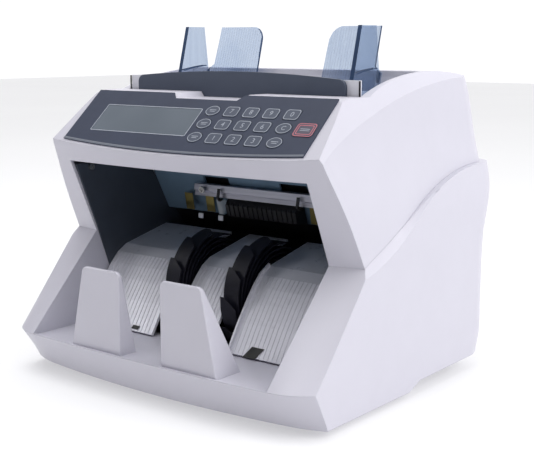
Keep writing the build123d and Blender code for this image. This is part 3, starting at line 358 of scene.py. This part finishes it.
def darken_acrylic_edges():
    """Uses the edge look on the front edge of each side plate and the right end of each rear plate."""
    edge_look = acrylic_edge()
    for name in ("note_guide_left", "note_guide_right"):
        mesh = frame["nodes"][name].data
        mesh.materials.append(edge_look)
        for face in mesh.polygons:
            on_side_plate = abs(face.center.x) > SIDE_PLATE_FROM
            front_edge = on_side_plate and face.normal.y < -0.5
            right_end = not on_side_plate and face.normal.x > 0.5 and abs(face.normal.y) < 0.3
            if front_edge or right_end:
                face.material_index = 1


darken_acrylic_edges()


# ---------------------------------------------------------------- mesh helpers
def add_mesh(name, vertices, faces, material, body):
    """A new piece that rides a body and is filed under a material slot."""
    mesh = bpy.data.meshes.new(name)
    mesh.from_pydata([tuple(v) for v in vertices], [], faces)
    mesh.validate()
    work = bmesh.new()
    work.from_mesh(mesh)
    bmesh.ops.recalc_face_normals(work, faces=work.faces)
    work.to_mesh(mesh)
    work.free()
    piece = bpy.data.objects.new(name, mesh)
    bpy.context.collection.objects.link(piece)
    mesh.materials.append(material)
    mesh.shade_smooth()
    mesh.set_sharp_from_angle(angle=math.radians(SMOOTH_ANGLE))
    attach(piece, body)


def outline_points(width, height, corner, steps=7):
    """A rounded rectangle, or an ellipse where the corner is None."""
    if corner is None:
        count = 4 * (steps + 1)
        angles = [2 * math.pi * i / count for i in range(count)]
        return [(width / 2 * math.cos(angle), height / 2 * math.sin(angle)) for angle in angles]
    points = []
    for quarter, (sx, sy) in enumerate(((1, 1), (-1, 1), (-1, -1), (1, -1))):
        cx, cy = sx * (width / 2 - corner), sy * (height / 2 - corner)
        for i in range(steps + 1):
            angle = math.radians(90 * quarter + 90 * i / steps)
            points.append((cx + corner * math.cos(angle), cy + corner * math.sin(angle)))
    return points


def ring(name, place, outer, inner, height, material, body):
    """A flat raised band between two outlines with the same number of points."""
    count = len(outer)
    crest = [((a + c) / 2, (b + d) / 2) for (a, b), (c, d) in zip(outer, inner)]
    side = height * 0.7
    levels = ((outer, 0), (outer, side), (crest, height), (inner, side), (inner, 0))
    rows = [[place @ Vector((x, y, z)) for x, y in outline] for outline, z in levels]
    vertices = [v for row in rows for v in row]
    faces = []
    for r in range(len(rows)):
        after = (r + 1) % len(rows)
        for i in range(count):
            j = (i + 1) % count
            faces.append((r * count + i, r * count + j, after * count + j, after * count + i))
    add_mesh(name, vertices, faces, material, body)


def slab(name, place, outline, thickness, material, body):
    """A plate with a rounded-over top edge, its underside at the local z = 0."""
    count = len(outline)
    shrink = 0.94
    levels = ((1.0, 0.0), (1.0, thickness * 0.7), (shrink + 0.03, thickness * 0.95), (shrink, thickness))
    vertices = [place @ Vector((x * s, y * s, z)) for s, z in levels for x, y in outline]
    faces = [tuple(range(count))[::-1]]
    for r in range(len(levels) - 1):
        for i in range(count):
            j = (i + 1) % count
            faces.append((r * count + i, r * count + j, (r + 1) * count + j, (r + 1) * count + i))
    top = len(vertices)
    vertices.append(place @ Vector((0, 0, thickness)))
    last = (len(levels) - 1) * count
    faces += [(last + i, last + (i + 1) % count, top) for i in range(count)]
    add_mesh(name, vertices, faces, material, body)


def band(name, rows, material, body):
    """An open strip through rows of points, each row as long as the others."""
    count = len(rows[0])
    faces = [(r * count + i, r * count + i + 1, (r + 1) * count + i + 1, (r + 1) * count + i)
             for r in range(len(rows) - 1) for i in range(count - 1)]
    add_mesh(name, [v for row in rows for v in row], faces, material, body)


# ---------------------------------------------------------------- control panel print
print_grey = plastic("printed_grey", (0.34, 0.37, 0.43), 0.4, 1600.0, 0.004, 0.06, 0.05 * MM)
print_red = plastic("printed_red", (0.58, 0.16, 0.20), 0.4, 1600.0, 0.004, 0.06, 0.05 * MM)
# Painted highlight: the band along the overlay's folded lower edge is a lighter grey than the overlay
fold_highlight_grey = plastic("overlay_fold_painted_highlight", (0.130, 0.145, 0.180), 0.34, 1600.0, 0.006, 0.06, 0.1 * MM)

ROUND_KEYS = ("mode", "add", "batch", "clear", "speed")
DIGITS = ("0", "1", "2", "3", "4", "5", "6", "7", "8", "9")
KEY_CORNER = 2.6 * MM
OUTLINE_WIDTH, OUTLINE_INSET = 0.5 * MM, 0.35 * MM
START_SECOND_LINE = 1.7 * MM    # the start key's second outline lies this far inside the first


def key_names():
    return [name for name in frame["nodes"] if name.startswith("key_")]


def key_top(node):
    """Middle of a key's outer face."""
    return centre(node) + PANEL_OUT * (KEY_THICKNESS / 2 + HIDDEN_GAP)


def key_outline(node):
    """Pale printed outline round a key, double on the red start key."""
    name = node.removeprefix("key_")
    width, height = tilted_size(node, KEY_THICKNESS)
    corner = None if name in ROUND_KEYS else KEY_CORNER
    ink = print_red if name == "start" else print_grey
    place, body = on_panel(key_top(node)), node + "_pad"

    def drawn_in(edge):
        return outline_points(width - 2 * edge, height - 2 * edge, corner and corner - edge * 0.6)

    for number, gap in enumerate((0.0, START_SECOND_LINE) if name == "start" else (0.0,)):
        edge = OUTLINE_INSET + gap
        ring(f"{node}_outline_{number}", place, drawn_in(edge), drawn_in(edge + OUTLINE_WIDTH), LINE_HEIGHT,
             ink, body)


def glyph_mesh(name, text, size, place, material, body):
    """One printed character, turned into a thin mesh."""
    curve = bpy.data.curves.new(name, "FONT")
    curve.body = text
    curve.align_x, curve.align_y = "CENTER", "CENTER"
    curve.size = size
    curve.extrude = LINE_HEIGHT / 2
    curve.resolution_u = 3
    holder = bpy.data.objects.new(name + "_text", curve)
    bpy.context.collection.objects.link(holder)
    bpy.context.view_layer.update()
    finished = holder.evaluated_get(bpy.context.evaluated_depsgraph_get())
    mesh = bpy.data.meshes.new_from_object(finished)
    bpy.data.objects.remove(holder)
    mesh.transform(place @ Matrix.Translation((0, 0, LINE_HEIGHT / 2)))
    piece = bpy.data.objects.new(name, mesh)
    bpy.context.collection.objects.link(piece)
    mesh.materials.clear()
    mesh.materials.append(material)
    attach(piece, body)


def bars(node, widths, place, material, body):
    """Short printed strokes that stand for a function key's caption."""
    gap, stroke, corner = 1.5 * MM, 0.6 * MM, 0.25 * MM
    for i, width in enumerate(widths):
        shift = Matrix.Translation((0, (len(widths) - 1) * gap / 2 - i * gap, 0))
        outline = outline_points(width, stroke, corner, 3)
        slab(f"{node}_mark_{i}", place @ shift, outline, LINE_HEIGHT, material, body)


def key_legend(node):
    """Digit, letter or plain strokes on a key."""
    name = node.removeprefix("key_")
    place, body = on_panel(key_top(node)), node + "_pad"
    if name in DIGITS:
        glyph_mesh(node + "_digit", name, 6.4 * MM, place, print_grey, body)
    elif name == "clear":
        glyph_mesh(node + "_letter", "C", 5.6 * MM, place, print_grey, body)
    elif name == "start":
        bars(node, (8.2 * MM, 8.2 * MM), place, print_grey, body)
    else:
        bars(node, (6.4 * MM, 5.0 * MM), place, print_grey, body)


def display_frame():
    """Pale line printed round the display window."""
    thickness, line, margin = 0.9 * MM, 0.7 * MM, 1.4 * MM
    surface = 0.55 * MM             # the line lies this far out from the window's middle
    width, height = tilted_size("display_window", thickness)
    width, height = width + margin, height + margin
    place = on_panel(centre("display_window") + PANEL_OUT * (surface + HIDDEN_GAP))
    outer = outline_points(width, height, 1.6 * MM)
    inner = outline_points(width - 2 * line, height - 2 * line, 1.0 * MM)
    ring("display_outline", place, outer, inner, 0.15 * MM, print_grey, ROOT)


def print_panel():
    """Everything that is printed on the control panel."""
    for node in key_names():
        key_outline(node)
        key_legend(node)
    display_frame()


print_panel()


def lower_hull(points):
    """Lower convex outline of a set of flat points, from left to right."""
    hull = []
    for x, y in sorted(points):
        while len(hull) > 1 and ((hull[-1][0] - hull[-2][0]) * (y - hull[-2][1])
                                 <= (hull[-1][1] - hull[-2][1]) * (x - hull[-2][0])):
            hull.pop()
        hull.append((x, y))
    return hull


def overlay_fold():
    """Raised band where the overlay folds over the bowed lower edge of the panel, lighter grey as a painted
    highlight of the fold.
    """
    vertices = [v.co for v in frame["nodes"]["control_panel_overlay"].data.vertices]
    top = max(v.dot(PANEL_OUT) for v in vertices)
    face = [(v.x, v.dot(PANEL_UP)) for v in vertices if v.dot(PANEL_OUT) > top - 0.1 * MM]
    hull = lower_hull(face)
    bow = 8 * MM                    # the bowed edge rises by less than this towards its ends
    lowest = min(s for _, s in hull)
    edge = [(x, s) for x, s in hull if s < lowest + bow]
    inset, width, raised, slant = 0.25 * MM, 2.3 * MM, 0.16 * MM, 0.3 * MM
    levels = ((inset, HIDDEN_GAP), (inset + slant, raised), (width - slant, raised), (width, HIDDEN_GAP))
    rows = [[PANEL_RIGHT * x + PANEL_UP * (s + up) + PANEL_OUT * (top + out) for x, s in edge]
            for up, out in levels]
    band("overlay_fold_highlight_band", rows, fold_highlight_grey, ROOT)


overlay_fold()


# ---------------------------------------------------------------- small parts in the bay and hopper
def plate_with_edge(name, corners, thickness, material):
    """A small plate with a bevelled rim, standing out of the surface that its four corners lie on."""
    border = 0.12                   # share of the plate that the rim takes up
    corners = [Vector(c) * MM for c in corners]
    out = (corners[1] - corners[0]).cross(corners[3] - corners[0]).normalized()
    middle = sum(corners, Vector()) / 4
    levels = ((1.0, 0.0), (1.0, 0.6), (1 - border * 0.5, 1.0), (1 - border, 1.0), (1 - 1.4 * border, 0.7))
    rows = [[middle + (c - middle) * share + out * thickness * MM * height for c in corners]
            for share, height in levels]
    faces = [(r * 4 + i, r * 4 + (i + 1) % 4, (r + 1) * 4 + (i + 1) % 4, (r + 1) * 4 + i)
             for r in range(len(rows) - 1) for i in range(4)]
    last = (len(rows) - 1) * 4
    faces.append((last, last + 1, last + 2, last + 3))
    add_mesh(name, [v for row in rows for v in row], faces, material, ROOT)


def sensor_windows():
    """Dark windows near the foot of the stacker plates, clear of the ribs."""
    glass = plastic("sensor_window", (0.035, 0.036, 0.034), 0.5, 900.0, 0.004, 0.2, 0.1 * MM, specular=0.3)
    down = Vector((0, *PLATE_RUN)).normalized()
    outward = Vector((0, PLATE_RUN[1], -PLATE_RUN[0])).normalized()
    foot = Vector((0, *PLATE_FOOT)) + outward * WINDOW_STANDOFF
    # name, left end, right end, lower edge, upper edge, shift of the upper edge to the right
    windows = (("sensor_window_right", 54.5, 66.0, -0.8, 8.2, 5.5),
               ("sensor_window_left", -63.5, -56.0, 1.6, 4.8, 1.0))
    for name, x0, x1, low, high, shift in windows:
        outline = ((x0, low), (x1, low), (x1 + shift, high), (x0 + shift, high))
        corners = [Vector((x, 0, 0)) + foot - down * up for x, up in outline]
        plate_with_edge(name, corners, 0.3, glass)


def sensor_lenses():
    """Two pale lenses in the left half of the bay."""
    lens = plastic("sensor_lens", (0.60, 0.62, 0.68), 0.25, 900.0, 0.004, 0.05, 0.1 * MM)
    for number, x in enumerate(LENS_X):
        outline = ((x - LENS_HALF, LENS_LOW), (x + LENS_HALF, LENS_LOW), (x + LENS_HALF, LENS_HIGH),
                   (x - LENS_HALF, LENS_HIGH))
        corners = [(x, LENS_Y, z) for x, z in outline]
        plate_with_edge(f"sensor_lens_{number}", corners, 0.6, lens)


def sensor_film():
    """Pale film that widens upwards from the second lens."""
    film = plastic("pale_film", (0.16, 0.20, 0.24), 0.2, 900.0, 0.004, 0.1, 0.1 * MM, specular=0.7)
    plate_with_edge("sensor_film", FILM_CORNERS, 0.3, film)


def hopper_end_shade_strips():
    """Painted shade: narrow black strips at the ends of the hopper's front wall, where the gap beside the wall
    lies in shadow.
    """
    low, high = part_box("hopper_wall")
    near, far, proud, base_gap, top_gap = 0.1, 1.6, 0.4, 13.0, 0.3
    front, base, top = low.y / MM - proud, low.z / MM + base_gap, high.z / MM - top_gap
    for side, label in ((-1, "left"), (1, "right")):
        ends = sorted(side * (high.x / MM + out) for out in (near, far))
        corners = [(ends[0], front, base), (ends[1], front, base), (ends[1], front, top),
                   (ends[0], front, top)]
        # The black rubber look is used here as painted shade of the gap
        plate_with_edge(f"hopper_end_shade_strip_{label}", corners, 0.4, materials["black_rubber"])


def painted_fold_shade():
    """Painted shade: a dark line where each clear side plate is folded to its foot, on both of its faces."""
    # The dark edge look paints the shade of the fold
    edge_look = acrylic_edge()
    section = ((-0.45, 0.01), (-0.2, 0.14), (0.2, 0.14), (0.45, 0.01))     # (up, out) in millimetres
    for side, label in ((-1, "left"), (1, "right")):
        low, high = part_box("note_guide_left" if side < 0 else "note_guide_right")
        outer = high.x if side > 0 else low.x
        faces = (("outer", outer, side), ("inner", outer - side * GUIDE_THICKNESS, -side))
        for face, x, out in faces:
            rows = [[Vector((x + out * stand * MM, y * MM, (z + up) * MM)) for y, z in GUIDE_FOLD]
                    for up, stand in section]
            band(f"guide_fold_shade_{label}_{face}", rows, edge_look, f"guide_{label}")


sensor_windows()
sensor_lenses()
sensor_film()
hopper_end_shade_strips()
painted_fold_shade()


# ---------------------------------------------------------------- floor, light, camera
def make_floor():
    """Pale paper that glows a little, so that it stays white under soft light."""
    mesh = bpy.data.meshes.new("floor")
    corners = ((-1, -1), (1, -1), (1, 1), (-1, 1))
    mesh.from_pydata([(x * FLOOR_REACH, y * FLOOR_REACH, 0) for x, y in corners], [], [(0, 1, 2, 3)])
    floor = bpy.data.objects.new("floor", mesh)
    bpy.context.collection.objects.link(floor)
    material, tree, shader = new_material("floor_paper")
    vector = object_coordinates(tree)
    cloud = noise(tree, vector, 1.5, 2.0, 0.5)
    tone = ramp(tree, cloud, (0.55, 0.55, 0.56, 1), (0.57, 0.57, 0.58, 1))
    tree.links.new(tone, shader.inputs["Base Color"])
    socket(shader, "Roughness", 0.8)
    socket(shader, "Emission Color", (1, 1, 1, 1))
    socket(shader, "Emission Strength", FLOOR_GLOW)
    mesh.materials.append(material)


def make_world():
    """Pale studio sky, brightest behind and to the right, dimmer in front to the left."""
    world = bpy.data.worlds.new("studio")
    bpy.context.scene.world = world
    world.use_nodes = True
    tree = world.node_tree
    tree.nodes.clear()
    output = node_of(tree, "ShaderNodeOutputWorld", (400, 0))
    background = node_of(tree, "ShaderNodeBackground", (200, 0))
    source = node_of(tree, "ShaderNodeTexCoord", (-600, 0))
    dot = node_of(tree, "ShaderNodeVectorMath", (-400, 0), operation="DOT_PRODUCT")
    dot.inputs[1].default_value = SKY_BRIGHT_SIDE
    spread = node_of(tree, "ShaderNodeMapRange", (-200, 0), interpolation_type="SMOOTHSTEP")
    socket(spread, "From Min", SKY_FADE[0])
    socket(spread, "From Max", SKY_FADE[1])
    socket(spread, "To Min", SKY_DIM)
    socket(spread, "To Max", SKY_BRIGHT)
    tree.links.new(source.outputs["Generated"], dot.inputs[0])
    tree.links.new(dot.outputs["Value"], spread.inputs["Value"])
    tree.links.new(spread.outputs["Result"], background.inputs["Strength"])
    background.inputs["Color"].default_value = (0.985, 0.985, 1.0, 1)
    tree.links.new(background.outputs["Background"], output.inputs["Surface"])


def softbox(name, spot, size, watts, color=(1, 1, 1)):
    """A rectangular area light that faces the machine."""
    light = bpy.data.lights.new(name, "AREA")
    light.shape = "RECTANGLE"
    light.size, light.size_y = size
    light.energy = watts
    light.color = color
    holder = bpy.data.objects.new(name, light)
    holder.location = spot
    holder.rotation_euler = (Vector(LIGHTS_AIM) - Vector(spot)).to_track_quat("-Z", "Y").to_euler()
    bpy.context.collection.objects.link(holder)


def make_lights():
    """Main light from the right rear, fill from above, and a small one that reaches into the bay."""
    softbox("key_softbox", (1.7, 0.5, 1.2), (1.2, 1.2), 15.0)
    softbox("top_softbox", (-0.2, 0.3, 1.9), (1.6, 1.6), 2.0)
    softbox("front_softbox", (-0.1, -0.5, 1.9), (1.2, 1.2), 13.0)
    softbox("bay_softbox", (-1.17, -0.88, 0.85), (0.45, 0.35), 4.0, (0.97, 0.97, 1.0))


def make_camera():
    """Stands right of the front, a little above the machine, and looks slightly down."""
    camera = bpy.data.cameras.new("camera")
    camera.lens, camera.sensor_width = FOCAL_LENGTH, SENSOR_WIDTH
    camera.clip_start, camera.clip_end = 0.01, 50.0
    holder = bpy.data.objects.new("camera", camera)
    bpy.context.collection.objects.link(holder)
    holder.location = CAMERA_SPOT
    holder.rotation_euler = (CAMERA_TARGET - CAMERA_SPOT).to_track_quat("-Z", "Y").to_euler()
    bpy.context.scene.camera = holder
    bpy.context.scene.view_settings.view_transform = "Standard"


make_floor()
make_world()
make_lights()
make_camera()
